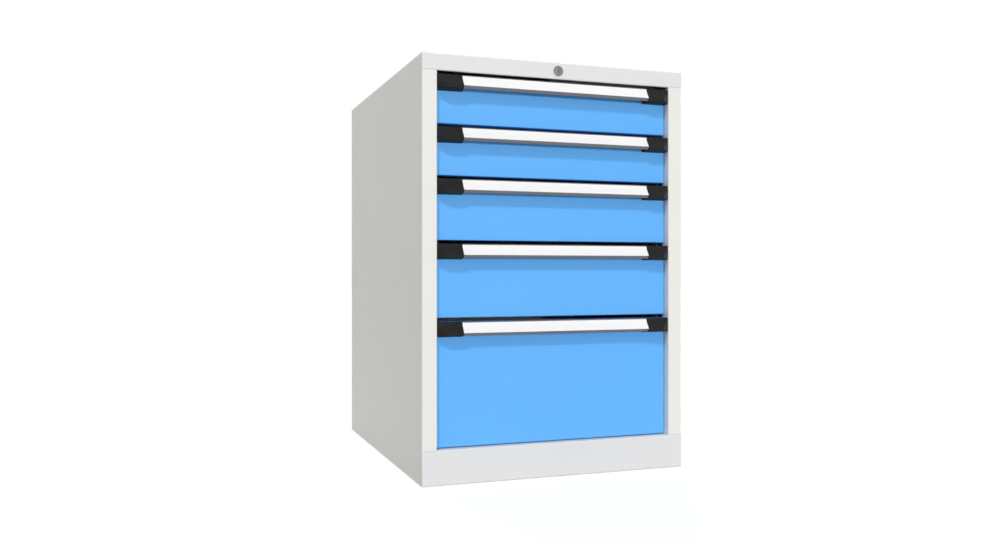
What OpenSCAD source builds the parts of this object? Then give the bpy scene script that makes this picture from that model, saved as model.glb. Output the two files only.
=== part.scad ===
// Reagent cabinet in folded sheet steel: five drawers on telescopic slides, with a central lock.
// The origin is on the floor at the centre of the footprint. X runs to the right, Y to the back
// and Z up, and the drawers open towards -Y. A depth d is measured back from the posts' front.

/* [Housing] */
// Width over the side panels
cabinet_w = 560; // [480:1:700]
// Depth from the front of the posts to the back of the back panel
cabinet_d = 700; // [640:1:800]
// Thickness of the housing's sheet
sheet_t = 1.5; // [1:0.1:2]
// Inside radius of the bends in the housing's sheet
bend_r = 1; // [0.5:0.1:1.5]
// Width of the front face of each post
post_w = 30; // [28:1:50]
// How far the inner face of a post turns back into the cabinet
post_return = 28; // [20:1:34]
// Height of the rail above the drawers
top_rail_h = 32; // [28:1:50]
// Depth of the flange above the top rail's face
top_rail_d = 20; // [10:1:30]
// Depth of the lip below that face
top_rail_lip = 6; // [5:1:20]
// Height of the rail below the drawers
base_rail_h = 68; // [50:1:120]
// Depth of the flanges that stand on the floor
foot_flange = 40; // [35:1:60]
// Width of the side panels' rear returns
rear_return = 20; // [14:1:24]
// Depth of the flange on top of the base front rail
sill_d = 32; // [20:1:36]
// Depth of the flanges that carry the floor panel
floor_ledge = 25; // [15:1:35]
// Height of the top panel's side flanges
lid_flange = 16; // [10:1:25]
// Gap along the seams between housing panels
seam = 0.5; // [0.3:0.1:1]

/* [Fixing holes] */
// Radius of the holes for bolting the cabinet to a floor
floor_hole_r = 5.5; // [4:0.5:7]
// Spacing of the floor holes across the cabinet
floor_hole_x = 440; // [200:5:460]
// Distance from the front or back face to the floor holes
floor_hole_inset = 22; // [20:1:30]
// Radius of the holes for fixing a worktop
top_hole_r = 4.5; // [3:0.5:6]
// Spacing of the worktop holes across the cabinet
top_hole_x = 460; // [200:5:470]
// Spacing of the worktop holes along the depth
top_hole_y = 560; // [200:5:590]

/* [Uprights] */
// Distance between neighbouring slots, and the unit of all drawer heights
slot_pitch = 25; // [24:1:30]
// Width of an upright along the cabinet's depth
upright_w = 40; // [36:1:60]
// Gap between the lock bar's guides and the front uprights
front_upright_gap = 2; // [1:0.5:6]
// Distance from the rear uprights to the back of the cabinet
rear_upright_gap = 25; // [15:1:40]
// Width of the uprights' lips on the side panels
upright_lip = 12; // [8:1:15]
// Width of a slot
slot_w = 4; // [3:0.5:5]
// Height of a slot
slot_h = 12; // [8:1:14]

/* [Drawer heights in slot pitches] */
// Top drawer
drawer_1_units = 4; // [4:1:6]
// Second drawer
drawer_2_units = 4; // [4:1:6]
// Third drawer
drawer_3_units = 5; // [4:1:8]
// Fourth drawer
drawer_4_units = 6; // [4:1:10]
// Bottom drawer
drawer_5_units = 10; // [4:1:12]

/* [Drawers] */
// How far the drawer fronts lie behind the posts
front_recess = 16.5; // [14:0.5:20]
// Thickness of the drawer fronts' sheet
front_t = 1.2; // [1:0.1:1.6]
// Overall depth of a folded drawer front
front_d = 21.5; // [15:0.5:21.5]
// Outside radius of a drawer front's edges
front_edge_r = 1.5; // [0.5:0.1:2]
// Gap between a drawer front and a post
front_side_gap = 1.5; // [1:0.1:3]
// Gap below each drawer front
front_bottom_gap = 1.6; // [0.5:0.05:2.5]
// Gap above each drawer front
front_top_gap = 5.7; // [3:0.1:6.5]
// Thickness of the trays' sheet
tray_t = 1; // [0.8:0.1:1.5]
// Room between the trays and the back panel
rear_room = 47.5; // [30:0.5:80]
// Room between a tray wall and a post, where the slides run
slide_room = 19.5; // [18:0.5:24]
// Height of a tray's floor above its space
tray_lift = 12; // [8:1:16]
// Clearance between a tray's rim and the top of its space
tray_headroom = 18; // [12:1:24]
// Width of the rim turned out along a tray's walls
tray_rim = 5; // [3:0.5:7]
// Distance between the divider slots in a tray's walls
divider_pitch = 51; // [34:17:85]
// Width of a divider slot
divider_slot_w = 2.4; // [2:0.1:4]
// Plain wall above a divider slot
divider_margin = 12; // [9:1:18]
// Depth of a tray that stays inside when its drawer is fully out
kept_inside = 12; // [10:1:200]

/* [Slides] */
// Thickness of the slides' steel
slide_t = 1.5; // [1.2:0.1:2]
// Height of a runner channel
channel_h = 36; // [30:1:38]
// Height of the middle of a slide above its drawer's space
slide_z = 34; // [32:1:36]
// Running clearance in the slides
slide_fit = 0.35; // [0.3:0.05:0.5]
// Gap between the two channels of a slide, where the middle rail's web runs
channel_gap = 2.7; // [2.5:0.1:4]
// Depth at which the cabinet runners start
runner_d = 40; // [39:0.5:48]
// How far a middle rail ends in front of the back of its tray
middle_setback = 10.5; // [5:0.5:40]
// Radius of the stop pins in the slides
stop_pin_r = 3; // [2:0.5:4]
// Length of the stop blocks on a middle rail
stop_block_l = 8; // [5:1:15]
// Length of a nylon glide
glide_l = 20; // [10:1:40]
// Length of a rubber stop
bumper_l = 10; // [6:1:15]
// Thickness of the hooks that hang a cabinet runner in its uprights
hook_t = 3; // [2:0.5:3.2]
// Height of a hook
hook_h = 11; // [8:0.5:11]
// How far a hook reaches behind its upright's face
hook_out = 3; // [2:0.5:6]

/* [Handles] */
// How far the handles' nose stands in front of the posts
nose_out = 9; // [5:0.5:12]
// Height of the nose below the top of the handle
nose_drop = 21; // [19:0.5:28]
// Depth at which the top edge of the sloping face starts
face_top_d = 1.5; // [0:0.5:5]
// Height of the bevel above the sloping face
bevel_h = 1.8; // [1:0.1:3]
// Depth of that bevel
bevel_run = 1.1; // [0.5:0.1:2]
// Wall thickness of the handle profile
profile_t = 1.8; // [1.4:0.1:2.5]
// Height of the flange by which the profile is fixed to the front
profile_flange = 18; // [12:1:20]
// Height of the lip below the nose
lip_h = 6; // [3:0.1:7]
// How far the lip turns back from the nose
lip_d = 4.5; // [3:0.1:6]
// Thickness of the label strip
label_t = 0.6; // [0.4:0.1:1]
// How far the profile's face lies behind the faces of the end caps
profile_inset = 0.4; // [0.2:0.1:1]
// Length of an end cap
cap_l = 50; // [35:0.5:60]
// Height of the back of an end cap
cap_h = 30; // [29:0.1:36]
// Width of the slanted facet at an end cap's outer front corner
cap_facet = 15; // [8:0.5:25]
// Length of the plug with which a cap closes the end of the profile
cap_plug = 3; // [2:0.5:12]
// Gap between an end cap and a post
cap_side_gap = 0.8; // [0.5:0.1:2]

/* [Lock] */
// Radius of the barrel's collar
lock_collar_r = 10; // [9.8:0.1:12]
// Thickness of the collar
lock_collar_t = 2.5; // [1.5:0.1:3]
// Radius of the barrel
lock_barrel_r = 9; // [8:0.1:9.3]
// Length of the barrel behind the collar
lock_barrel_l = 26; // [20:1:30]
// Radius of the core
lock_core_r = 6; // [5:0.1:6.5]
// Running clearance of the core in the barrel
lock_core_fit = 0.05; // [0.02:0.01:0.1]
// Side of the square tail that carries the cam
lock_tail = 7; // [5:0.5:7]
// Width across the flats of the nut
lock_nut_w = 24; // [22:1:25]
// Thickness of the nut
lock_nut_t = 5; // [3:0.5:8]
// Thickness of the cam
cam_t = 2.5; // [2:0.1:3]
// Radius of the crank pin on the cam
crank_pin_r = 2; // [1.5:0.1:2.5]
// How far the lock bar shifts sideways
lock_travel = 12; // [10:0.5:12]
// Thickness of the lock bar
lock_bar_t = 3; // [2:0.1:3.4]
// Width of the lock bar
lock_bar_w = 12; // [8:1:12]
// Depth of the lock bar's front face
lock_bar_d = 43.5; // [43.5:0.5:44.5]
// Gap between a post's inner face and a lug drawn back
lug_gap = 2; // [1:0.5:2.5]
// Gap between a post's inner face and the tip of a catch plate
catch_gap_x = 5; // [3:0.5:6]
// Gap between a lug and its catch plate
catch_gap_d = 3.5; // [2:0.5:5]
// Thickness of a catch plate
catch_t = 2; // [1.5:0.1:3]
// Length of a catch plate's foot on the tray
catch_foot = 18; // [10:1:25]
// Height of a lug
lock_lug_h = 10; // [6:1:12]
// Clearance of the crank pin in its slot
crank_fit = 0.45; // [0.4:0.05:0.6]
// Clearance of the lock bar in its guides
guide_fit = 0.3; // [0.2:0.05:0.5]

/* [Hidden] */
$fn = 48;
cut = 1;

// The drawers' spaces, from the top one down
units = [drawer_1_units, drawer_2_units, drawer_3_units, drawer_4_units, drawer_5_units];
drawer_count = len(units);
drawers = [1:drawer_count];
function units_from(n) = n > drawer_count ? 0 : units[n - 1] + units_from(n + 1);
function space_bottom(n) = base_rail_h + slot_pitch * units_from(n + 1);
function space_top(n) = base_rail_h + slot_pitch * units_from(n);
stack_top = space_top(1);
cabinet_h = stack_top + top_rail_h;

// Planes of the housing
front_y = (nose_out - cabinet_d) / 2;
back_y = front_y + cabinet_d;
function at(d) = front_y + d;
side_x = cabinet_w / 2;
inner_x = side_x - sheet_t;
opening_x = side_x - post_w;
panel_d = cabinet_d - sheet_t;
return_d = panel_d - sheet_t;
floor_z = base_rail_h - sheet_t;
lid_under = cabinet_h - sheet_t;

// The uprights and the channels that hang between them
guide_wall = 3.2;
guide_end_d = lock_bar_d + lock_bar_t + guide_fit + guide_wall;
front_upright_d = guide_end_d + front_upright_gap;
rear_upright_d = cabinet_d - rear_upright_gap - upright_w;
slot_count = units_from(1) - 1;
function slot_z(k) = base_rail_h + slot_pitch * k + slide_z - slot_pitch;

// Drawer fronts and trays
front_x = opening_x - front_side_gap;
tray_x = opening_x - slide_room;
tray_front_d = front_recess + front_d;
tray_outer_d = panel_d - rear_room;
tray_back_d = tray_outer_d - tray_t;
tray_inside_d = tray_back_d - tray_front_d;
drawer_travel = tray_inside_d - kept_inside;
function front_bottom(n) = space_bottom(n) + front_bottom_gap;
function front_top(n) = space_top(n) - front_top_gap;
function tray_floor(n) = space_bottom(n) + tray_lift;
function tray_top(n) = space_top(n) - tray_headroom;
function slide_mid(n) = space_bottom(n) + slide_z;
tray_bend_r = 0.5;
divider_rise = 4;

// The slides: cabinet channel outside, drawer channel inside, middle rail in both
middle_web_x = (tray_x + opening_x) / 2;
middle_in_x = tray_x + slide_t + slide_fit;
middle_out_x = opening_x - slide_t - slide_fit;
middle_half_h = channel_h / 2 - slide_t - slide_fit;
middle_rail_d = runner_d + slide_fit;
middle_rail_end = tray_outer_d - middle_setback;
runner_end = rear_upright_d + upright_w;
middle_travel = drawer_travel / 2;
channel_depth = (slide_room - channel_gap) / 2;
channel_bend_r = 0.5;
stop_pin_l = 5;
stop_block_inset = 1;
glide_inset = 2;

// The lock
lock_z = stack_top + top_rail_h / 2;
crank_r = lock_travel / 2 * sqrt(2);
crank_x = lock_travel / 2;
crank_z = lock_z - lock_travel / 2;
cam_gap = 2;
cam_d = lock_bar_d - cam_t - cam_gap;
cam_hub_r = 8;
cam_end_r = 4.5;
cam_arm_w = 8;
crank_pin_end = 1;
strip_gap = 2.5;
strip_x = inner_x - strip_gap - lock_bar_w;
strip_bottom = base_rail_h + 20;
lug_tip_x = opening_x + lug_gap;
lug_lift = channel_h / 2 + 6;
function lug_bottom(n) = slide_mid(n) + lug_lift;
crank_slot_r = crank_pin_r + crank_fit;
crank_slot_bottom = lock_z - crank_r - crank_slot_r;
crank_slot_top = crank_z + crank_slot_r;
slot_wall = 3;
slot_side_wall = 6;
arm_bottom = crank_slot_bottom - slot_wall;
arm_top = crank_slot_top + slot_wall;
guide_l = 20;
guide_slot_spare = 7.5;
guide_w = lock_bar_w + strip_gap + guide_slot_spare;
guide_bridge = 1.5;
guide_z = [base_rail_h + 30, space_top(5) + 22, arm_bottom - 45];
catch_d = lock_bar_d + lock_bar_t + catch_gap_d;
catch_tip_x = opening_x - catch_gap_x;

// The lock's core: how far its face lies back in the collar, and its keyhole
core_recess = 0.3;
core_tail_start = 2;
key_slot_w = 1.4;
key_slot_h = 7.2;
key_slot_d = 8;

// Back panel screws: M5 countersunk
screw_r = 2.2;
screw_head_r = 4.2;
screw_head_h = 1.3;
screw_l = 9;
screw_fit = 0.05; // also the fit of the lock's barrel and of the cam on its square
screw_margin_z = 40;
side_screw_count = 8;
base_screw_count = 4;
screw_x = side_x - rear_return / 2;
screw_z_step = (cabinet_h - 2 * screw_margin_z) / (side_screw_count - 1);
base_screw_step = 120;
screw_places = concat(
    [for (s = [-1, 1], k = [0:side_screw_count - 1]) [s * screw_x, screw_margin_z + k * screw_z_step]],
    [for (k = [0:base_screw_count - 1]) [(k - (base_screw_count - 1) / 2) * base_screw_step, floor_z / 2]]
);

// Colours as the photograph shows them
post_colour = "#ECEBE6";
rail_colour = "#E4E4E4";
blue_colour = "#6AB9FE";
white_colour = "#F8F8FA";
black_colour = "#2C2C2C";
zinc_colour = "#B4B8BC";
alloy_colour = "#8A8F9A";
lock_colour = "#8D8D8D";

// ---------------------------------------------------------------- shared shapes

// A block between two corners, given as ranges along X, Y and Z
module block(x, y, z) {
    translate([x[0], y[0], z[0]]) cube([x[1] - x[0], y[1] - y[0], z[1] - z[0]]);
}

// A block placed by depth behind the posts instead of by Y
module block_d(x, d, z) {
    block(x, [at(d[0]), at(d[1])], z);
}

// The right-hand shape on the side s: 1 is right and -1 is left
module on_side(s) {
    if (s < 0) mirror([1, 0, 0]) children();
    else children();
}

// An outline in X and Y, extruded up from z0 to z1
module upright_outline(z0, z1) {
    translate([0, 0, z0]) linear_extrude(z1 - z0) children();
}

// An outline in X and Z, extruded back from y0 to y1
module outline_back(y0, y1) {
    translate([0, y1, 0]) rotate([90, 0, 0]) linear_extrude(y1 - y0) children();
}

// An outline in Y and Z, extruded to the right from x0 to x1
module outline_right(x0, x1) {
    translate([x0, 0, 0]) rotate([90, 0, 90]) linear_extrude(x1 - x0) children();
}

function unit(v) = v / norm(v);
function left_of(v) = [-v[1], v[0]];
function turn(u, v) = u[0] * v[1] - u[1] * v[0] > 0 ? 1 : -1;

// Points of one bend: the path's line at b, offset to its left by o, with the mid radius r
function bend_points(a, b, c, r, o) =
    let (u = unit(b - a), v = unit(c - b), s = turn(u, v), angle = acos(u * v),
         start = b - u * r * tan(angle / 2), centre = start + left_of(u) * s * r,
         reach = r - s * o, steps = 4)
    [for (k = [0:steps]) let (w = s * angle * k / steps, q = -left_of(u) * s * reach)
        centre + [q[0] * cos(w) - q[1] * sin(w), q[0] * sin(w) + q[1] * cos(w)]];

// One side of a folded sheet whose middle follows the path
function sheet_side(path, r, o) =
    let (last = len(path) - 1)
    concat(
        [path[0] + left_of(unit(path[1] - path[0])) * o],
        [for (k = [1:1:last - 1]) each bend_points(path[k - 1], path[k], path[k + 1], r, o)],
        [path[last] + left_of(unit(path[last] - path[last - 1])) * o]
    );

// The section of a folded sheet of thickness t, with the inside bend radius r
module folded(path, t, r) {
    one_side = sheet_side(path, r + t / 2, t / 2);
    other = sheet_side(path, r + t / 2, -t / 2);
    polygon(concat(one_side, [for (k = [len(other) - 1:-1:0]) other[k]]));
}

// A round bar along the depth, from d0 to d1
module bar_d(r, x, z, d0, d1) {
    translate([x, at(d1), z]) rotate([90, 0, 0]) cylinder(r = r, h = d1 - d0);
}

// ---------------------------------------------------------------- housing

// Countersunk screws of the back panel, grown by a clearance for their holes
module back_screw_shapes(grow, length) {
    for (p = screw_places) translate([p[0], back_y, p[1]]) rotate([90, 0, 0]) {
        cylinder(r1 = screw_head_r + grow, r2 = screw_r + grow, h = screw_head_h);
        cylinder(r = screw_r + grow, h = length);
    }
}

// Side panel with its front post and rear return, on the side s
module side_panel(s) {
    h = sheet_t / 2;
    color(post_colour) difference() {
        on_side(s) difference() {
            upright_outline(0, cabinet_h) folded([
                [opening_x + h, at(post_return)],
                [opening_x + h, at(h)],
                [side_x - h, at(h)],
                [side_x - h, at(return_d + h)],
                [side_x - rear_return, at(return_d + h)]
            ], sheet_t, bend_r);
            for (z = [[-cut, base_rail_h], [stack_top, cabinet_h + cut]]) {
                block_d([opening_x - cut, side_x + cut], [-cut, sheet_t], z);
                block_d([opening_x - cut, inner_x], [-cut, post_return + cut], z);
            }
            block_d([opening_x, inner_x], [return_d - bend_r - cut, cabinet_d],
                    [cabinet_h - lid_flange - seam, cabinet_h + cut]);
        }
        back_screw_shapes(screw_fit, screw_l + cut);
    }
}

module back_panel() {
    color(post_colour) difference() {
        block_d([-side_x, side_x], [panel_d, cabinet_d], [0, cabinet_h]);
        back_screw_shapes(screw_fit, screw_l + cut);
    }
}

module top_panel() {
    x = inner_x - sheet_t / 2;
    color(rail_colour) difference() {
        outline_back(at(top_rail_d + seam), at(panel_d)) folded([
            [-x, cabinet_h - lid_flange],
            [-x, cabinet_h - sheet_t / 2],
            [x, cabinet_h - sheet_t / 2],
            [x, cabinet_h - lid_flange]
        ], sheet_t, bend_r);
        for (sx = [-1, 1], sy = [-1, 1])
            translate([sx * top_hole_x / 2, at(cabinet_d / 2) + sy * top_hole_y / 2, lid_under - cut])
                cylinder(r = top_hole_r, h = sheet_t + 2 * cut);
    }
}

module top_front_rail() {
    h = sheet_t / 2;
    color(rail_colour) union() {
        difference() {
            outline_right(-inner_x, inner_x) folded([
                [at(top_rail_lip), stack_top + h],
                [at(h), stack_top + h],
                [at(h), cabinet_h - h],
                [at(top_rail_d), cabinet_h - h]
            ], sheet_t, bend_r);
            bar_d(lock_barrel_r + screw_fit, 0, lock_z, -cut, sheet_t + cut);
        }
        for (s = [-1, 1]) on_side(s)
            block_d([inner_x, side_x], [0, sheet_t], [stack_top, cabinet_h]);
    }
}

module base_front_rail() {
    h = sheet_t / 2;
    color(rail_colour) difference() {
        union() {
            outline_right(-inner_x, inner_x) folded([
                [at(foot_flange), h],
                [at(h), h],
                [at(h), base_rail_h - h],
                [at(sill_d), base_rail_h - h]
            ], sheet_t, bend_r);
            for (s = [-1, 1]) on_side(s)
                block_d([inner_x - cut, side_x], [0, sheet_t], [0, base_rail_h]);
        }
        floor_holes();
    }
}

module base_rear_rail() {
    h = sheet_t / 2;
    x = side_x - rear_return - seam;
    color(rail_colour) difference() {
        outline_right(-x, x) folded([
            [at(panel_d - foot_flange), h],
            [at(panel_d - h), h],
            [at(panel_d - h), floor_z - h],
            [at(panel_d - floor_ledge), floor_z - h]
        ], sheet_t, bend_r);
        floor_holes();
        back_screw_shapes(screw_fit, screw_l + cut);
    }
}

// The four holes for bolting the cabinet to a floor
module floor_holes() {
    for (s = [-1, 1], d = [floor_hole_inset, cabinet_d - floor_hole_inset])
        translate([s * floor_hole_x / 2, at(d), -cut]) cylinder(r = floor_hole_r, h = sheet_t + 2 * cut);
}

module base_side_rails() {
    h = sheet_t / 2;
    color(rail_colour) for (s = [-1, 1]) on_side(s)
        outline_back(at(foot_flange + seam), at(panel_d - foot_flange - seam)) folded([
            [inner_x - floor_ledge, h],
            [inner_x - h, h],
            [inner_x - h, floor_z - h],
            [inner_x - floor_ledge, floor_z - h]
        ], sheet_t, bend_r);
}

module floor_panel() {
    color(rail_colour)
        block_d([-inner_x, inner_x], [sill_d + seam, return_d - bend_r - seam],
                [floor_z, base_rail_h]);
}

// Slotted upright on the side s, with its front edge at the depth d
module slotted_upright(s, d) {
    h = sheet_t / 2;
    mid_d = d + upright_w / 2;
    color(zinc_colour) on_side(s) difference() {
        upright_outline(base_rail_h, stack_top) folded([
            [inner_x - h, at(d + upright_lip)],
            [inner_x - h, at(d + h)],
            [opening_x + h, at(d + h)],
            [opening_x + h, at(d + upright_w - h)],
            [inner_x - h, at(d + upright_w - h)],
            [inner_x - h, at(d + upright_w - upright_lip)]
        ], sheet_t, bend_r);
        for (k = [1:slot_count])
            block_d([opening_x - cut, opening_x + sheet_t + cut], [mid_d - slot_w / 2, mid_d + slot_w / 2],
                    [slot_z(k) - slot_h / 2, slot_z(k) + slot_h / 2]);
    }
}

// ---------------------------------------------------------------- slides

// A channel section that opens towards -X, with its web's outer face at x
module channel_section(x, depth, z) {
    h = slide_t / 2;
    folded([
        [x - depth, z - channel_h / 2 + h],
        [x - h, z - channel_h / 2 + h],
        [x - h, z + channel_h / 2 - h],
        [x - depth, z + channel_h / 2 - h]
    ], slide_t, channel_bend_r);
}

// The five channels on the side s that hang in the uprights, with hooks and stop pins
module cabinet_runners(s) {
    pin_d = middle_rail_end - stop_block_l - middle_travel - slide_fit - stop_pin_r;
    color(zinc_colour) on_side(s) for (n = drawers) union() {
        outline_back(at(runner_d), at(runner_end)) channel_section(opening_x, channel_depth, slide_mid(n));
        for (d = [front_upright_d, rear_upright_d]) {
            mid_d = d + upright_w / 2;
            block_d([opening_x - slide_t / 2, opening_x + sheet_t + hook_out],
                    [mid_d - hook_t / 2, mid_d + hook_t / 2],
                    [slide_mid(n) - hook_h / 2, slide_mid(n) + hook_h / 2]);
        }
        stop_pin(opening_x - slide_t - stop_pin_l, opening_x - slide_t / 2, pin_d, slide_mid(n));
    }
}

// A stop pin across a slide, from x0 to x1
module stop_pin(x0, x1, d, z) {
    translate([x0, at(d), z]) rotate([0, 90, 0]) cylinder(r = stop_pin_r, h = x1 - x0);
}

// A pair of middle rails: an I section with a stop block at each end
module middle_rails(n) {
    z = slide_mid(n);
    half = middle_half_h;
    d = [middle_rail_d, middle_rail_end];
    color(zinc_colour) for (s = [-1, 1]) on_side(s) union() {
        block_d([middle_web_x - slide_t / 2, middle_web_x + slide_t / 2], d, [z - half, z + half]);
        for (bottom = [z - half, z + half - slide_t])
            block_d([middle_in_x, middle_out_x], d, [bottom, bottom + slide_t]);
        block_d([middle_web_x, middle_out_x - stop_block_inset], [d[1] - stop_block_l, d[1]],
                [z - half, z + half]);
        block_d([middle_in_x + stop_block_inset, middle_web_x], [d[0], d[0] + stop_block_l],
                [z - half, z + half]);
    }
}

// Nylon glides in the front ends of the cabinet runners
module runner_glides() {
    reach = middle_web_x + slide_t / 2 + slide_fit;
    half = middle_half_h - slide_t - slide_fit;
    d = runner_d + glide_inset;
    color(white_colour) for (s = [-1, 1], n = drawers) on_side(s)
        block_d([reach, opening_x - slide_t], [d, d + glide_l],
                [slide_mid(n) - half, slide_mid(n) + half]);
}

// Rubber stops at the rear ends of the cabinet runners
module runner_stops() {
    half = middle_half_h - slide_fit;
    d = middle_rail_end + slide_fit;
    color(black_colour) for (s = [-1, 1], n = drawers) on_side(s)
        block_d([middle_web_x, opening_x - slide_t], [d, d + bumper_l],
                [slide_mid(n) - half, slide_mid(n) + half]);
}

// ---------------------------------------------------------------- drawers

// A plan outline with its two front corners rounded, w wide and d deep
module round_front(w, d, r) {
    translate([-w / 2, r]) square([w, d - r]);
    translate([-w / 2 + r, 0]) square([w - 2 * r, d]);
    for (s = [-1, 1]) translate([s * (w / 2 - r), r]) circle(r = r);
}

// Folded drawer front, open at the back
module drawer_front(n) {
    z0 = front_bottom(n);
    z1 = front_top(n);
    mid_z = (z0 + z1) / 2;
    color(blue_colour) difference() {
        intersection() {
            upright_outline(z0, z1) translate([0, at(front_recess)])
                round_front(2 * front_x, front_d, front_edge_r);
            outline_right(-front_x, front_x) translate([at(front_recess), mid_z]) rotate(-90)
                round_front(z1 - z0, front_d, front_edge_r);
        }
        block_d([-front_x + front_t, front_x - front_t], [front_recess + front_t, tray_front_d + cut],
                [z0 + front_t, z1 - front_t]);
    }
}

// Tray with a backing plate that closes the front, and slots for dividers
module drawer_tray(n) {
    h = tray_t / 2;
    z0 = tray_floor(n);
    z1 = tray_top(n);
    slots = floor((tray_inside_d - divider_pitch / 2) / divider_pitch);
    color(post_colour) difference() {
        union() {
            outline_back(at(tray_front_d), at(tray_outer_d)) folded([
                [-tray_x - tray_rim, z1 - h],
                [-tray_x + h, z1 - h],
                [-tray_x + h, z0 + h],
                [tray_x - h, z0 + h],
                [tray_x - h, z1 - h],
                [tray_x + tray_rim, z1 - h]
            ], tray_t, tray_bend_r);
            block_d([-front_x + front_t, front_x - front_t], [tray_front_d - tray_t, tray_front_d],
                    [front_bottom(n) + front_t, front_top(n) - front_t]);
            block_d([-tray_x + h, tray_x - h], [tray_back_d, tray_outer_d], [z0 + h, z1]);
            block_d([-tray_x + h, tray_x - h], [tray_back_d, tray_outer_d + tray_rim], [z1 - tray_t, z1]);
        }
        for (k = [1:slots])
            block_d([-tray_x - cut, tray_x + cut],
                    [tray_front_d + k * divider_pitch - divider_slot_w / 2,
                     tray_front_d + k * divider_pitch + divider_slot_w / 2],
                    [slide_mid(n) + channel_h / 2 + divider_rise, z1 - divider_margin]);
    }
}

// The drawer's own pair of channels, and the catch plate that the lock bar's lug stands in front of
module drawer_runners(n) {
    pin_d = middle_rail_d + stop_block_l + middle_travel + slide_fit + stop_pin_r;
    color(zinc_colour) {
        for (s = [-1, 1]) on_side(s) union() {
            outline_back(at(tray_front_d), at(tray_outer_d)) mirror([1, 0])
                channel_section(-tray_x, channel_depth, slide_mid(n));
            stop_pin(tray_x + slide_t / 2, tray_x + slide_t + stop_pin_l, pin_d, slide_mid(n));
        }
        block_d([tray_x, catch_tip_x], [catch_d, catch_d + catch_t],
                [lug_bottom(n), lug_bottom(n) + lock_lug_h]);
        block_d([tray_x, tray_x + catch_t], [catch_d, catch_d + catch_foot],
                [lug_bottom(n), lug_bottom(n) + lock_lug_h]);
    }
}

// ---------------------------------------------------------------- handles

// The sloping face is an S curve from its top edge to its nose, in depth and in height below the
// handle's top. The two pulls bow it: out below the top edge and in above the nose.
face_brow = [face_top_d, -bevel_h];
face_nose = [-nose_out, -nose_drop];
face_brow_pull = [-0.3, -7];
face_nose_pull = [4.5, 8.3];
face_points = [face_brow, face_brow + face_brow_pull, face_nose + face_nose_pull, face_nose];

function curve(p, t) =
    (1 - t) ^ 3 * p[0] + 3 * (1 - t) ^ 2 * t * p[1] + 3 * (1 - t) * t ^ 2 * p[2] + t ^ 3 * p[3];

function slope(p, t) =
    (1 - t) ^ 2 * (p[1] - p[0]) + 2 * (1 - t) * t * (p[2] - p[1]) + t ^ 2 * (p[3] - p[2]);

// The face's line, set back from the caps' face by an inset
face_steps = 12;

function face_line(inset) =
    [for (k = [0:face_steps]) let (t = k / face_steps)
        curve(face_points, t) + unit(left_of(slope(face_points, t))) * inset];

function reversed(list) = [for (k = [len(list) - 1:-1:0]) list[k]];

// A handle outline, given in depth and height below the top of drawer n's handle
module handle_outline(n, x0, x1) {
    outline_right(x0, x1) translate([front_y, front_top(n)]) children();
}

lip_end = [lip_d - nose_out, -nose_drop - lip_h];
lip_t = 1.2;
nose_run = 0.3;
cap_nose_rise = 0.6;
plug_gap = 0.3;
plug_inset = 11.5;
plug_rise = 2;
cap_outer_x = opening_x - cap_side_gap;
cap_inner_x = cap_outer_x - cap_l;

// Aluminium profile: fixing flange, top web, sloping face with a seat for the label, and lip
module drawer_handle(n) {
    skin = profile_inset + label_t;
    outer_line = face_line(profile_inset);
    brow = outer_line[0];
    nose = outer_line[len(outer_line) - 1];
    color(alloy_colour) handle_outline(n, -cap_inner_x, cap_inner_x) polygon(concat(
        [[front_recess, -profile_flange], [front_recess, 0], [brow[0] + bevel_run, 0], brow],
        face_line(skin),
        [nose, nose + [nose_run, -lip_t], lip_end, lip_end + [lip_t, lip_t]],
        reversed(face_line(skin + profile_t)),
        [[front_recess - profile_t, -profile_t], [front_recess - profile_t, -profile_flange]]
    ));
}

// White strip over the sloping face
module drawer_label(n) {
    color(white_colour) handle_outline(n, -cap_inner_x, cap_inner_x)
        polygon(concat(face_line(profile_inset), reversed(face_line(profile_inset + label_t))));
}

// Moulded end caps, with a slanted facet at the outer corner and a plug into the profile
module drawer_end_caps(n) {
    plug_top = -profile_flange - plug_gap;
    plug_d = lip_end[0] + plug_inset;
    z0 = front_top(n) - cap_h;
    z1 = front_top(n);
    facet_x = cap_outer_x - cap_facet;
    color(black_colour) for (s = [-1, 1]) on_side(s) difference() {
        union() {
            handle_outline(n, cap_inner_x, cap_outer_x) polygon(concat(
                [[front_recess, -cap_h], [front_recess, 0], [face_top_d + bevel_run, 0]],
                face_line(0),
                [[-nose_out, -nose_drop - lip_h + cap_nose_rise]]
            ));
            handle_outline(n, cap_inner_x - cap_plug, cap_inner_x) polygon([
                [front_recess, -cap_h], [front_recess, plug_top], [plug_d, plug_top],
                [plug_d, -cap_h + plug_rise]
            ]);
        }
        upright_outline(z0 - cut, z1 + cut) polygon([
            [cap_outer_x, at(face_top_d)], [facet_x, at(-nose_out)],
            [facet_x, at(-nose_out) - cut], [cap_outer_x + cut, at(-nose_out) - cut],
            [cap_outer_x + cut, at(face_top_d)]
        ]);
    }
}

// ---------------------------------------------------------------- lock

module lock_barrel() {
    color(lock_colour) difference() {
        union() {
            bar_d(lock_collar_r, 0, lock_z, -lock_collar_t, 0);
            bar_d(lock_barrel_r, 0, lock_z, -lock_collar_t, lock_barrel_l);
        }
        bar_d(lock_core_r + lock_core_fit, 0, lock_z, -lock_collar_t - cut, lock_barrel_l + cut);
    }
}

module lock_nut() {
    nut_r = lock_nut_w / 2 / cos(30);
    color(zinc_colour) difference() {
        translate([0, at(sheet_t + lock_nut_t), lock_z]) rotate([90, 0, 0])
            cylinder(r = nut_r, h = lock_nut_t, $fn = 6);
        bar_d(lock_barrel_r + screw_fit, 0, lock_z, 0, lock_nut_t + 2 * sheet_t);
    }
}

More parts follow.
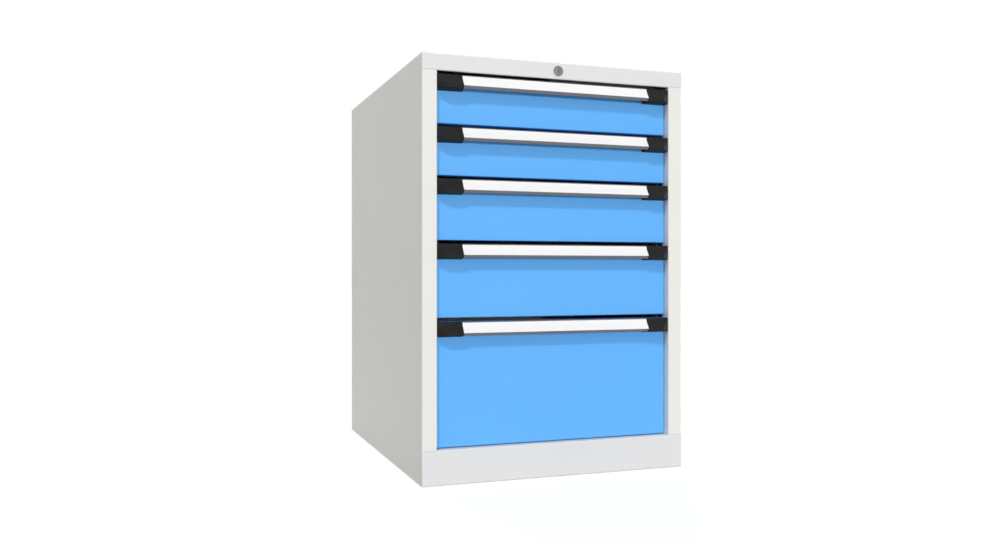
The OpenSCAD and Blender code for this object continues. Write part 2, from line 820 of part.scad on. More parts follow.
module lock_core() {
    half = lock_tail / 2;
    color(lock_colour) difference() {
        union() {
            bar_d(lock_core_r, 0, lock_z, -lock_collar_t + core_recess, lock_barrel_l + core_tail_start);
            block_d([-half, half], [lock_barrel_l, cam_d + cam_t], [lock_z - half, lock_z + half]);
        }
        block_d([-key_slot_w / 2, key_slot_w / 2], [-lock_collar_t, key_slot_d],
                [lock_z - key_slot_h / 2, lock_z + key_slot_h / 2]);
    }
}

// Cam on the core's square tail, with the crank pin that reaches through the lock bar
module lock_cam() {
    half = lock_tail / 2 + screw_fit;
    color(zinc_colour) union() {
        difference() {
            union() {
                bar_d(cam_hub_r, 0, lock_z, cam_d, cam_d + cam_t);
                bar_d(cam_end_r, crank_x, crank_z, cam_d, cam_d + cam_t);
                translate([0, at(cam_d), lock_z]) rotate([0, 45, 0])
                    translate([0, 0, -cam_arm_w / 2]) cube([crank_r, cam_t, cam_arm_w]);
            }
            block_d([-half, half], [cam_d - cut, cam_d + cam_t + cut], [lock_z - half, lock_z + half]);
        }
        bar_d(crank_pin_r, crank_x, crank_z, cam_d, lock_bar_d + lock_bar_t + crank_pin_end);
    }
}

// Lock bar: an arm behind the top rail and a strip behind the right post
module lock_bar() {
    d = [lock_bar_d, lock_bar_d + lock_bar_t];
    color(zinc_colour) difference() {
        union() {
            block_d([crank_x - crank_slot_r - slot_side_wall, strip_x + lock_bar_w], d,
                    [arm_bottom, arm_top]);
            block_d([strip_x, strip_x + lock_bar_w], d, [strip_bottom, arm_top]);
        }
        block_d([crank_x - crank_slot_r, crank_x + crank_slot_r], [d[0] - cut, d[1] + cut],
                [crank_slot_bottom, crank_slot_top]);
    }
}

// Lugs welded to the edge of the lock bar's strip, one for each drawer
module lock_lugs() {
    color(zinc_colour) for (n = drawers)
        block_d([lug_tip_x, strip_x], [lock_bar_d, lock_bar_d + lock_bar_t],
                [lug_bottom(n), lug_bottom(n) + lock_lug_h]);
}

// Guides on the right side panel in which the lock bar slides
module lock_bar_guides() {
    d0 = lock_bar_d - guide_fit;
    d1 = lock_bar_d + lock_bar_t + guide_fit;
    color(black_colour) for (z = guide_z) difference() {
        block_d([inner_x - guide_w, inner_x], [d0 - guide_wall, d1 + guide_wall], [z, z + guide_l]);
        block_d([inner_x - guide_w - cut, inner_x - guide_bridge], [d0, d1], [z - cut, z + guide_l + cut]);
    }
}

// ---------------------------------------------------------------- the cabinet

side_panel(-1);  // left_side_panel
side_panel(1);  // right_side_panel
back_panel();
top_panel();
top_front_rail();
base_front_rail();
base_rear_rail();
base_side_rails();
floor_panel();
slotted_upright(-1, front_upright_d);  // front_left_upright
slotted_upright(1, front_upright_d);  // front_right_upright
slotted_upright(-1, rear_upright_d);  // rear_left_upright
slotted_upright(1, rear_upright_d);  // rear_right_upright
cabinet_runners(-1);  // cabinet_runners_left
cabinet_runners(1);  // cabinet_runners_right
runner_glides();
runner_stops();
color(lock_colour) back_screw_shapes(0, screw_l);  // back_panel_screws
lock_barrel();
lock_nut();
lock_bar_guides();
lock_core();
lock_cam();
lock_bar();
lock_lugs();
for (n = drawers) {
    drawer_tray(n);
    drawer_front(n);
    drawer_handle(n);
    drawer_label(n);
    drawer_end_caps(n);
    drawer_runners(n);
    middle_rails(n);
}
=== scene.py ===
"""Looks of the reagent drawer cabinet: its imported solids, dressed and detailed, in a pale studio.

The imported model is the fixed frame. Sheet-steel pieces keep their own solids and get softened
edges and a finish. Handles, label strips, end caps, the lock, screws, glides and stops are built
here in more detail and stand for their solids. Lengths in the classes are in millimetres.
"""
import logging
import math
from collections.abc import Callable
from dataclasses import dataclass, field
from enum import Enum

import bmesh
import bpy
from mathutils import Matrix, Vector


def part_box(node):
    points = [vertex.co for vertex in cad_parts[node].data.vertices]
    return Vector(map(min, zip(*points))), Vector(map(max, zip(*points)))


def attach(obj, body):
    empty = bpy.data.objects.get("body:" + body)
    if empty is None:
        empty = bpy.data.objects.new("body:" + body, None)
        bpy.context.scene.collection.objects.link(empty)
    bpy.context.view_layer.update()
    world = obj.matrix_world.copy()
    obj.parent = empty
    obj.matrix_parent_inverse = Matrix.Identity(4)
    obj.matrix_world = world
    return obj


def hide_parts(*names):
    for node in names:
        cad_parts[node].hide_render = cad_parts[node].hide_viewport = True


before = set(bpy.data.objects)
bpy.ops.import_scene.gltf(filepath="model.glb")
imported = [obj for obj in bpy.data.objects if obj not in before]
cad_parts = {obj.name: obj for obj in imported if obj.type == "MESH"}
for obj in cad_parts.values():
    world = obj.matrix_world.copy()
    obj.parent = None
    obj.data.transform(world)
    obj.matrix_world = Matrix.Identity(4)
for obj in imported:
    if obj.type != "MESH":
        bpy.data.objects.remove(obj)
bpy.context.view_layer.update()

MM = 0.001
# The drawers' numbers, from the top one down.
DRAWERS = range(1, 6)
# Y of the posts' front faces and Z of the lock's axis, in millimetres.
POSTS_FRONT = -345.5
LOCK_AXIS_Z = 809.0
# Facets around a turned piece, and where their corners lie, in radians.
STEPS_AROUND = 48
AROUND = [2 * math.pi * k / STEPS_AROUND for k in range(STEPS_AROUND)]
# Corners of a solid's mesh that lie closer than this, in millimetres, are one corner.
SAME_CORNER = 0.002
# Angles between two faces, in degrees: up to the first they are one flat face, up to the second
# they shade as one, above the third a new piece's edge is rounded, above the last a solid's is.
FLAT = 0.5
SHADED_AS_ONE = 32.0
ROUNDED_ABOVE = 30.0
BEVELLED_ABOVE = 40.0

log = logging.getLogger("cabinet")

Point = tuple[float, float]
Triple = tuple[float, float, float]
Form = bmesh.types.BMesh
Corner = bmesh.types.BMVert
Nodes = bpy.types.NodeTree
Socket = bpy.types.NodeSocket


class Edge(Enum):
    """Radius in millimetres to which an edge is softened, by how the piece is made."""

    SHEET = 0.3
    ROLLED = 0.25
    MOULDED = 0.9
    SMALL_MOULDED = 0.5
    TURNED = 0.2


class Side(Enum):
    """A side of the cabinet, as its nodes' names say it."""

    LEFT = "left"
    RIGHT = "right"


# ------------------------------------------------------------------ small shared functions


def linear(hex_colour: str) -> tuple[float, float, float, float]:
    """Turns an sRGB hex value into a linear colour.

    Args:
        hex_colour: The colour as "#RRGGBB".

    Returns:
        Red, green, blue and an alpha of 1.
    """
    values = [int(hex_colour[i:i + 2], 16) / 255 for i in (1, 3, 5)]
    red, green, blue = [v / 12.92 if v <= 0.04045 else ((v + 0.055) / 1.055) ** 2.4
                        for v in values]
    return red, green, blue, 1.0


def scale_of(spacing: float) -> float:
    """Turns a pattern's spacing in millimetres into a texture's scale: how many to the metre."""
    return 1000 / spacing


def add_node(tree: Nodes, kind: str, inputs: dict[str | int, object] | None = None,
             **settings: object) -> bpy.types.Node:
    """Adds a node with its settings, values and links.

    Args:
        tree: The node tree that gets it.
        kind: The node's type, such as "ShaderNodeBump".
        inputs: For each input, by name or number, the socket that feeds it or its value.
        settings: The node's own properties.

    Returns:
        The new node.
    """
    node = tree.nodes.new(kind)
    for name, value in settings.items():
        setattr(node, name, value)
    for key, value in (inputs or {}).items():
        if isinstance(value, Socket):
            tree.links.new(value, node.inputs[key])
        else:
            node.inputs[key].default_value = value
    return node


def new_piece(name: str, form: Form) -> bpy.types.Object:
    """Makes a scene object of a finished form and frees the form.

    Args:
        name: The piece's name.
        form: Its shape in metres, in the shared frame.

    Returns:
        The new object.
    """
    bmesh.ops.recalc_face_normals(form, faces=form.faces)
    mesh = bpy.data.meshes.new(name)
    form.to_mesh(mesh)
    form.free()
    # A form that began as a solid still carries the solid's own shading.
    for shading in ("custom_normal", "sharp_face", "sharp_edge"):
        if shading in mesh.attributes:
            mesh.attributes.remove(mesh.attributes[shading])
    mesh.shade_smooth()
    mesh.set_sharp_from_angle(angle=math.radians(SHADED_AS_ONE))
    piece = bpy.data.objects.new(name, mesh)
    bpy.context.scene.collection.objects.link(piece)
    return piece


def soften(form: Form, radius: float, steps: int = 3) -> None:
    """Rounds the sharp edges of a form.

    Args:
        form: The form to round.
        radius: The rounding in millimetres.
        steps: Facets across each rounding.
    """
    sharp = [e for e in form.edges
             if e.is_manifold and e.calc_face_angle(0.0) > math.radians(ROUNDED_ABOVE)]
    bmesh.ops.bevel(form, geom=sharp, offset=radius * MM, segments=steps, profile=0.5,
                    affect="EDGES", clamp_overlap=True)


def bridge(form: Form, ring: list[Corner], other: list[Corner]) -> None:
    """Joins two rings, each with as many corners, by a band of faces.

    Args:
        form: The form that gets the faces.
        ring: The first ring.
        other: The second ring.
    """
    for k in range(len(ring)):
        m = (k + 1) % len(ring)
        form.faces.new([ring[k], ring[m], other[m], other[k]])


def swept(section: list[Point], x0: float, x1: float, place: Callable[[Point], Point]) -> Form:
    """Sweeps a closed section along X.

    Args:
        section: The section's points.
        x0: Where the sweep starts, in millimetres.
        x1: Where it ends, in millimetres.
        place: Turns a point of the section into Y and Z in millimetres.

    Returns:
        The swept form, with both ends closed.
    """
    form = bmesh.new()
    start, end = [[form.verts.new(Vector((x, *place(p))) * MM) for p in section]
                  for x in (x0, x1)]
    bridge(form, start, end)
    form.faces.new(start)
    form.faces.new(end[::-1])
    return form


def turned(outline: list[Point], centre: Vector, axis: Vector) -> Form:
    """Turns a closed outline around an axis, as on a lathe.

    Args:
        outline: Radius and distance along the axis, in millimetres.
        centre: Where the axis starts, in metres.
        axis: The axis as a unit vector.

    Returns:
        The turned form.
    """
    form = bmesh.new()
    basis = axis.to_track_quat("Z", "Y").to_matrix()
    rings = []
    for r, along in outline:
        offsets = [Vector((r * math.cos(a), r * math.sin(a), along)) for a in AROUND]
        rings.append([form.verts.new(centre + basis @ offset * MM) for offset in offsets])
    for ring, following in zip(rings, rings[1:] + rings[:1]):
        bridge(form, ring, following)
    return form


def copied(node: str) -> Form:
    """Takes a solid's form as the start of a more detailed piece, with its flat faces whole.

    Args:
        node: The CAD node's name.

    Returns:
        The form, joined at its corners.
    """
    form = bmesh.new()
    form.from_mesh(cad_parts[node].data)
    bmesh.ops.remove_doubles(form, verts=form.verts, dist=SAME_CORNER * MM)
    bmesh.ops.dissolve_limit(form, angle_limit=math.radians(FLAT), verts=form.verts,
                             edges=form.edges)
    return form


# ------------------------------------------------------------------ finishes


@dataclass(frozen=True)
class Finish:
    """What all finishes share: two close tones, and roughness and bump from one relief.

    Attributes:
        name: The material's name.
        tone: Its main colour as sRGB hex.
        shade: Its second colour, a little darker, warmer or cooler.
        roughness: The roughness at the relief's lowest and highest places.
        cloud: How far across the clouds of the second colour are.
        depth: How deep the relief is.
        metallic: 1 for bare metal.
        ior: The index of refraction, or None for a metal, which keeps the shader's default.
    """

    name: str
    tone: str
    shade: str
    roughness: tuple[float, float]
    cloud: float = 180.0
    depth: float = 0.01
    metallic: float = 0.0
    ior: float | None = None

    def build(self) -> bpy.types.Material:
        """Makes the material: colour clouds, roughness, relief and shader.

        Returns:
            The material.
        """
        material = bpy.data.materials.new(self.name)
        material.use_nodes = True
        tree = material.node_tree
        tree.nodes.clear()
        place = add_node(tree, "ShaderNodeTexCoord").outputs["Object"]
        # Inputs 6 and 7 are the mix node's colours, and output 2 is the colour mixed of them.
        colour = add_node(tree, "ShaderNodeMix", {
            0: self.clouds(tree, place), 6: linear(self.tone), 7: linear(self.shade),
        }, data_type="RGBA")
        relief = self.relief(tree, place)
        low, high = self.roughness
        rough = add_node(tree, "ShaderNodeMapRange", {
            "Value": relief, "To Min": low, "To Max": high,
        })
        bump = add_node(tree, "ShaderNodeBump", {
            "Height": relief, "Distance": self.depth * MM, "Strength": 1.0,
        })
        shader = add_node(tree, "ShaderNodeBsdfPrincipled", {
            "Base Color": colour.outputs[2], "Metallic": self.metallic,
            "Roughness": rough.outputs[0], "Normal": bump.outputs[0],
        })
        if self.ior is not None:
            shader.inputs["IOR"].default_value = self.ior
        add_node(tree, "ShaderNodeOutputMaterial", {"Surface": shader.outputs["BSDF"]})
        return material

    def clouds(self, tree: Nodes, place: Socket) -> Socket:
        """Draws where the second colour lies."""
        return add_node(tree, "ShaderNodeTexNoise", {
            "Vector": place, "Scale": scale_of(self.cloud), "Detail": 2.0, "Roughness": 0.5,
        }).outputs[0]

    def relief(self, tree: Nodes, place: Socket) -> Socket:
        """Draws the surface's relief.

        Args:
            tree: The material's nodes.
            place: Coordinates in metres that move with the piece.

        Returns:
            The height, from 0 to 1.
        """
        raise NotImplementedError


@dataclass(frozen=True)
class LinedFinish(Finish):
    """A finish whose relief is noise drawn out into lines or fibres.

    Attributes:
        line: How far apart the lines are.
        stretch: The noise's scale along X, Y and Z, which is small the way the lines run.
        layers: How many finer layers of noise lie on the first.
        fine: The finer layers' share.
    """

    line: float = 1.0
    stretch: Triple = (1.0, 1.0, 1.0)
    layers: float = 2.0
    fine: float = 0.6

    def relief(self, tree: Nodes, place: Socket) -> Socket:
        """Draws the lines.

        Args:
            tree: The material's nodes.
            place: Coordinates in metres that move with the piece.

        Returns:
            The height, from 0 to 1.
        """
        along = add_node(tree, "ShaderNodeMapping", {"Vector": place, "Scale": self.stretch})
        noise = add_node(tree, "ShaderNodeTexNoise", {
            "Vector": along.outputs[0], "Scale": scale_of(self.line), "Detail": self.layers,
            "Roughness": self.fine,
        })
        return noise.outputs[0]


@dataclass(frozen=True)
class PowderCoat(Finish):
    """Polyester powder coat on sheet steel, sprayed dry and baked: satin, with faint orange peel.

    Cured polyester has an IOR near 1.5, but its fine satin texture takes away nearly half of the
    mirror share, and a lower IOR does the same.
    """

    peel: float = 5.0
    depth: float = 0.012
    ior: float | None = 1.36

    def relief(self, tree: Nodes, place: Socket) -> Socket:
        """The peel's waves are 2 mm across on the real sheet; at 5 mm they just show."""
        return add_node(tree, "ShaderNodeTexNoise", {
            "Vector": place, "Scale": scale_of(self.peel), "Detail": 1.0, "Roughness": 0.4,
        }).outputs[0]


@dataclass(frozen=True)
class ZincPlate(LinedFinish):
    """Zinc-plated cold-rolled steel, passivated: grey metal with faint blue and straw clouds.

    The rolling lines run along the depth. On the real strip they are 0.2 mm apart, too fine to
    show, and are drawn at 1.6 mm.
    """

    cloud: float = 28.0
    line: float = 1.6
    stretch: Triple = (1.0, 0.02, 1.0)
    fine: float = 0.55
    depth: float = 0.02
    metallic: float = 1.0

    def clouds(self, tree: Nodes, place: Socket) -> Socket:
        """The passivation's stains are some 28 mm across and ragged, with soft rims."""
        noise = add_node(tree, "ShaderNodeTexNoise", {
            "Vector": place, "Scale": scale_of(self.cloud), "Detail": 4.0, "Roughness": 0.6,
            "Distortion": 0.6,
        })
        return add_node(tree, "ShaderNodeMapRange", {
            "Value": noise.outputs[0], "From Min": 0.35, "From Max": 0.65,
        }).outputs[0]


@dataclass(frozen=True)
class AnodisedExtrusion(LinedFinish):
    """Extruded aluminium, satin etched and anodised: soft metal with fine die lines.

    The die lines run along X. On the real profile they are 0.3 mm apart, too fine to show, and
    are drawn at 1.2 mm.
    """

    line: float = 1.2
    stretch: Triple = (0.004, 1.0, 1.0)
    depth: float = 0.015
    metallic: float = 1.0


@dataclass(frozen=True)
class LabelCard(LinedFinish):
    """Bright white clay-coated card for writing on: matt, with its fibres along the strip.

    Fibres are 0.05 mm thick, too fine to show; bundles of them are drawn 2 mm apart and 12 mm long.
    """

    line: float = 2.0
    stretch: Triple = (0.16, 1.0, 1.0)
    layers: float = 4.0
    fine: float = 0.7
    ior: float | None = 1.45


@dataclass(frozen=True)
class MouldedPlastic(Finish):
    """Injection-moulded plastic from a spark-eroded mould: matt, with an even fine grain.

    ABS and nylon both have an IOR between 1.53 and 1.55.
    """

    grain: float = 1.4
    depth: float = 0.05
    ior: float | None = 1.54

    def relief(self, tree: Nodes, place: Socket) -> Socket:
        """The grain's pits are 0.3 mm across on the real skin; at 1.4 mm they show."""
        return add_node(tree, "ShaderNodeTexVoronoi", {
            "Vector": place, "Scale": scale_of(self.grain), "Randomness": 1.0,
        }, feature="SMOOTH_F1").outputs["Distance"]


@dataclass(frozen=True)
class PressedRubber(MouldedPlastic):
    """Pressed nitrile rubber: near black and dull, with the mould's grain in its skin."""

    ior: float | None = 1.52


@dataclass(frozen=True)
class TurnedNickel(Finish):
    """Nickel-plated zinc die-casting with a turned face: rings around the lock's axis."""

    ring: float = 0.9
    waver: float = 0.4
    metallic: float = 1.0

    def relief(self, tree: Nodes, place: Socket) -> Socket:
        """Draws the turning marks: 0.1 mm apart on the real face, drawn at 0.9 mm, where they show.

        At a scale of 1 the wave texture's rings lie pi / 10 apart.

        Args:
            tree: The material's nodes.
            place: Coordinates in metres that move with the piece.

        Returns:
            The height, from 0 to 1.
        """
        centred = add_node(tree, "ShaderNodeMapping", {
            "Vector": place, "Location": (0.0, 0.0, -LOCK_AXIS_Z * MM),
        })
        rings = add_node(tree, "ShaderNodeTexWave", {
            "Vector": centred.outputs[0], "Scale": math.pi / 10 * scale_of(self.ring),
            "Distortion": self.waver, "Detail": 1.0,
        }, wave_type="RINGS", rings_direction="Y")
        return rings.outputs["Fac"]


class Finishes:
    """All finishes of the cabinet, each built once."""

    def __init__(self) -> None:
        """Builds the materials."""
        satin = (0.48, 0.56)
        self.post_paint = PowderCoat(
            "powder_coat_light_grey", "#ECEBE6", "#E8E7E2", satin).build()
        self.rail_paint = PowderCoat(
            "powder_coat_rail_grey", "#E4E4E4", "#E0E0E0", satin).build()
        self.front_paint = PowderCoat(
            "powder_coat_sky_blue", "#65B7FF", "#62B4FC", satin).build()
        self.zinc = ZincPlate(
            "zinc_plated_steel", "#B7BBC0", "#B2B1AC", (0.30, 0.48)).build()
        self.alloy = AnodisedExtrusion(
            "anodised_aluminium", "#75777D", "#6E7076", (0.44, 0.54)).build()
        # The end caps' grain scatters most of their mirror share, so their IOR is set low.
        self.cap_plastic = MouldedPlastic(
            "moulded_abs_black", "#202020", "#1C1C1C", (0.48, 0.60), ior=1.22).build()
        self.nylon = MouldedPlastic(
            "moulded_nylon_natural", "#EDECE4", "#E6E4DA", (0.38, 0.5)).build()
        self.rubber = PressedRubber(
            "pressed_rubber_black", "#1E1E1E", "#232323", (0.72, 0.86)).build()
        self.card = LabelCard(
            "label_card_white", "#F5F3F3", "#F2F1F1", (0.55, 0.68)).build()
        self.lock_metal = TurnedNickel(
            "turned_nickel", "#7A7A7A", "#737373", (0.46, 0.56)).build()
        # The wards deep in the key slot are brass, but get a dull near-black matt finish: painted
        # shade for the dark slot.
        self.painted_shade_wards = MouldedPlastic(
            "painted_shade_wards_dark", "#17181A", "#131416", (0.5, 0.7), grain=0.8).build()


# ------------------------------------------------------------------ sub-assemblies


def dress(node: str, finish: bpy.types.Material, edge: Edge | None = None) -> None:
    """Gives a CAD node its finish and, where wanted, softened edges.

    Args:
        node: The CAD node's name.
        finish: Its material.
        edge: How far its edges are softened, or None to leave them.
    """
    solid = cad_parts[node]
    solid.material_slots[0].material = finish
    if edge is not None:
        weld = solid.modifiers.new("joined_corners", "WELD")
        weld.merge_threshold = SAME_CORNER * MM
        whole = solid.modifiers.new("whole_faces", "DECIMATE")
        whole.decimate_type = "DISSOLVE"
        whole.angle_limit = math.radians(FLAT)
        bevel = solid.modifiers.new("softened_edges", "BEVEL")
        bevel.width = edge.value * MM
        bevel.segments = 2
        bevel.limit_method = "ANGLE"
        bevel.angle_limit = math.radians(BEVELLED_ABOVE)
        # The largest faces alone set the shading, so flat sheets stay flat up to the rounding.
        normals = solid.modifiers.new("flat_faces", "WEIGHTED_NORMAL")
        normals.keep_sharp = False
        normals.weight = 100
    log.info("dressed %s with %s", node, finish.name)


def stand_in(piece: bpy.types.Object, body: str, slot: str, finish: bpy.types.Material,
             *nodes: str) -> None:
    """Puts a finished piece on its body, in the place of CAD nodes.

    Args:
        piece: The new piece.
        body: The CAD body that it rides on.
        slot: The record's material slot; not used.
        finish: Its material.
        nodes: The CAD nodes that it stands for.
    """
    piece.data.materials.append(finish)
    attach(piece, body)
    if nodes:
        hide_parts(*nodes)
    log.info("built %s on %s", piece.name, body)


def rounded(node: str, body: str, slot: str, finish: bpy.types.Material, edge: Edge) -> None:
    """Builds a moulded or turned piece from a solid's form, with its edges rounded.

    Args:
        node: The CAD node that it follows and stands for.
        body: Its body.
        slot: The record's material slot.
        finish: Its material.
        edge: How far its edges are rounded.
    """
    form = copied(node)
    soften(form, edge.value)
    stand_in(new_piece(f"{node}_detailed", form), body, slot, finish, node)


@dataclass
class Housing:
    """Panels, rails and uprights of the fixed cabinet."""

    finishes: Finishes
    sides_and_back: tuple[str, ...] = ("left_side_panel", "right_side_panel", "back_panel")
    top_rails_and_floor: tuple[str, ...] = (
        "top_panel", "top_front_rail", "base_front_rail", "base_rear_rail", "base_side_rails",
        "floor_panel")
    uprights: tuple[str, ...] = (
        "front_left_upright", "front_right_upright", "rear_left_upright", "rear_right_upright")

    def build(self) -> None:
        """Dresses the sheet-metal nodes."""
        for node in self.sides_and_back:
            dress(node, self.finishes.post_paint, Edge.SHEET)
        for node in self.top_rails_and_floor:
            dress(node, self.finishes.rail_paint, Edge.SHEET)
        for node in self.uprights:
            dress(node, self.finishes.zinc, Edge.ROLLED)


@dataclass
class BackScrews:
    """The countersunk screws of the back panel, each with a cross recess.

    Attributes:
        finishes: The cabinet's finishes.
        head_r: Radius of the head, which is flush with the panel.
        head_depth: How deep the head's cone reaches.
        rim: How far the head's top edge is broken inwards.
        rim_depth: How far it is broken down.
        shank_r: Radius of the shank.
        shank_l: How deep the shank reaches.
        recess_depth: Depth of the cross recess.
        recess_taper: Size of the recess's bottom as a share of its mouth.
        arm_l: Length of the cross's arms from the middle.
        arm_half_w: Half the width of an arm.
    """

    finishes: Finishes
    head_r: float = 4.2
    head_depth: float = 1.3
    rim: float = 0.15
    rim_depth: float = 0.05
    shank_r: float = 2.2
    shank_l: float = 9.0
    recess_depth: float = 1.1
    recess_taper: float = 0.7
    arm_l: float = 2.6
    arm_half_w: float = 0.55

    def build(self) -> None:
        """Builds all screws as one piece."""
        form = bmesh.new()
        for place in self.places():
            rings = []
            for radii, depth in self.rings():
                offsets = [Vector((r * math.cos(a), -depth, r * math.sin(a)))
                           for r, a in zip(radii, AROUND)]
                rings.append([form.verts.new(place + offset * MM) for offset in offsets])
            for ring, following in zip(rings, rings[1:]):
                bridge(form, ring, following)
            form.faces.new(rings[0][::-1])
            form.faces.new(rings[-1])
        stand_in(new_piece("countersunk_screws", form), "housing", "zinc_steel",
                 self.finishes.zinc, "back_panel_screws")

    def rings(self) -> list[tuple[list[float], float]]:
        """Lists a screw's rings, from its tip over its head to the recess's bottom.

        Returns:
            For each ring the radius at each step around, and the depth below the panel's face.
        """
        plain = [(self.shank_r, self.shank_l), (self.shank_r, self.head_depth),
                 (self.head_r, self.rim_depth), (self.head_r - self.rim, 0.0)]
        cross = [(1.0, 0.0), (self.recess_taper, self.recess_depth)]
        return [([r] * STEPS_AROUND, depth) for r, depth in plain] + [
            ([self.recess_radius(a, scale) for a in AROUND], depth) for scale, depth in cross]

    def recess_radius(self, angle: float, scale: float) -> float:
        """Gives the cross recess's outline as a radius.

        Args:
            angle: The direction in radians.
            scale: A factor for the narrower bottom.

        Returns:
            The radius in millimetres.
        """
        long, short = sorted((abs(math.cos(angle)), abs(math.sin(angle))), reverse=True)
        # Along an arm's middle line the short share is 0, which 1e-6 keeps off the divisor.
        return scale * min(self.arm_l / long, self.arm_half_w / max(short, 1e-6))

    def places(self) -> list[Vector]:
        """Finds the middle of each screw's head on the back panel.

        Returns:
            The places, in metres.
        """
        form = copied("back_panel_screws")
        seen: set[int] = set()
        places = []
        for start in form.verts:
            if start.index in seen:
                continue
            screw, todo = [], [start]
            seen.add(start.index)
            while todo:
                corner = todo.pop()
                screw.append(corner.co)
                for edge in corner.link_edges:
                    other = edge.other_vert(corner)
                    if other.index not in seen:
                        seen.add(other.index)
                        todo.append(other)
            low = [min(c[i] for c in screw) for i in range(3)]
            high = [max(c[i] for c in screw) for i in range(3)]
            places.append(Vector(((low[0] + high[0]) / 2, high[1], (low[2] + high[2]) / 2)))
        form.free()
        return places


@dataclass
class Slides:
    """Cabinet runners, glides and stops, and each drawer's middle rails and own runners."""

    finishes: Finishes

    def build(self) -> None:
        """Dresses the rails and builds glides and stops."""
        for side in Side:
            dress(f"cabinet_runners_{side.value}", self.finishes.zinc, Edge.ROLLED)
        for number in DRAWERS:
            dress(f"middle_rails_{number}", self.finishes.zinc, Edge.ROLLED)
            dress(f"drawer_{number}_runners", self.finishes.zinc, Edge.ROLLED)
        rounded("runner_glides", "housing", "nylon", self.finishes.nylon, Edge.SMALL_MOULDED)
        rounded("runner_stops", "housing", "rubber", self.finishes.rubber, Edge.MOULDED)


@dataclass
class Handle:
    """Sections of one drawer's handle profile and of the label strip in its seat.

    A section's points are depths behind the posts and heights above the handle's top.

    Attributes:
        recess: Depth of the drawer front's face, on which the profile lies.
        nose_out: How far the nose stands in front of the posts.
        nose_drop: How far it lies below the handle's top.
        brow_depth: Depth of the sloping face's top edge.
        brow_drop: How far that edge lies below the handle's top.
        brow_run: Run of the bevel from there to the flat top.
        brow_pull: Where the face's curve heads for from its top edge.
        nose_pull: Where it comes from at the nose.
        wall: Thickness of the profile.
        flange: Height of the flange on the front.
        lip_h: Height of the lip below the nose.
        lip_d: How far the lip leans back from the nose.
        lip_wall: Thickness of the lip.
        lip_lead: How far the nose's underside steps back.
        strip_t: Thickness of the label strip.
        strip_inset: How far the strip's face lies behind the end caps' face.
        edge_r: Rounding of the edges.
        steps: Facets along the face's curve.
    """

    recess: float = 16.5
    nose_out: float = 9.0
    nose_drop: float = 21.0
    brow_depth: float = 1.5
    brow_drop: float = 1.8
    brow_run: float = 1.1
    brow_pull: Point = (-0.3, -7.0)
    nose_pull: Point = (4.5, 8.3)
    wall: float = 1.8
    flange: float = 18.0
    lip_h: float = 6.0
    lip_d: float = 4.5
    lip_wall: float = 1.2
    lip_lead: float = 0.3
    strip_t: float = 0.6
    strip_inset: float = 0.4
    edge_r: float = 0.25
    steps: int = 28

    def face(self, inset: float) -> list[Point]:
        """Draws the sloping face: an S curve from its top edge to its nose.

        Args:
            inset: How far the line lies behind the end caps' face.

        Returns:
            The curve's points.
        """
        brow, nose = (self.brow_depth, -self.brow_drop), (-self.nose_out, -self.nose_drop)
        p = [Vector(place) for place in (
            brow,
            (brow[0] + self.brow_pull[0], brow[1] + self.brow_pull[1]),
            (nose[0] + self.nose_pull[0], nose[1] + self.nose_pull[1]),
            nose,
        )]
        points = []
        for k in range(self.steps + 1):
            t = k / self.steps
            u = 1 - t
            on = p[0] * u ** 3 + p[1] * 3 * u * u * t + p[2] * 3 * u * t * t + p[3] * t ** 3
            along = (p[1] - p[0]) * u * u + (p[2] - p[1]) * 2 * u * t + (p[3] - p[2]) * t * t
            left = Vector((-along.y, along.x)).normalized() * inset
            points.append((on.x + left.x, on.y + left.y))
        return points

    def profile(self) -> list[Point]:
        """Draws the aluminium profile's section: flange, top web, face with its seat, and lip.

        Returns:
            The section's points.
        """
        seat = self.strip_inset + self.strip_t
        outer = self.face(self.strip_inset)
        brow, nose = outer[0], outer[-1]
        lip = (self.lip_d - self.nose_out, -self.nose_drop - self.lip_h)
        back = self.recess - self.wall
        return [
            (self.recess, -self.flange), (self.recess, 0.0), (brow[0] + self.brow_run, 0.0), brow,
            *self.face(seat), nose, (nose[0] + self.lip_lead, nose[1] - self.lip_wall), lip,
            (lip[0] + self.lip_wall, lip[1] + self.lip_wall),
            *reversed(self.face(seat + self.wall)),
            (back, -self.wall), (back, -self.flange),
        ]

    def strip(self) -> list[Point]:
        """Draws the label strip's section, which fills its seat."""
        under = self.face(self.strip_inset + self.strip_t)
        return [*self.face(self.strip_inset), *reversed(under)]


@dataclass
class Drawer:
    """One drawer: tray, front, handle profile, label strip and end caps."""

    number: int
    finishes: Finishes
    handle: Handle = field(default_factory=Handle)

    @property
    def name(self) -> str:
        """The drawer's body and the start of its nodes' names."""
        return f"drawer_{self.number}"

    def build(self) -> None:
        """Builds and dresses the drawer's pieces."""
        dress(f"{self.name}_tray", self.finishes.post_paint, Edge.SHEET)
        dress(f"{self.name}_front", self.finishes.front_paint)
        self.sweep("handle", self.handle.profile(), "alloy", self.finishes.alloy)
        self.sweep("label", self.handle.strip(), "label_white", self.finishes.card)
        rounded(f"{self.name}_end_caps", self.name, "black_plastic", self.finishes.cap_plastic,
                Edge.MOULDED)

    def sweep(self, part: str, section: list[Point], slot: str,
              finish: bpy.types.Material) -> None:
        """Sweeps a section between the end caps, as its CAD node lies.

        Args:
            part: The piece's name behind the drawer's.
            section: Points in depth behind the posts and height above the handle's top.
            slot: The record's material slot.
            finish: Its material.
        """
        node = f"{self.name}_{part}"
        low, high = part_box(node)
        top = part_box(f"{self.name}_handle")[1].z / MM
        form = swept(section, low.x / MM, high.x / MM,
                     lambda p: (POSTS_FRONT + p[0], top + p[1]))
        soften(form, self.handle.edge_r, steps=2)
        stand_in(new_piece(f"{node}_profile", form), self.name, slot, finish, node)


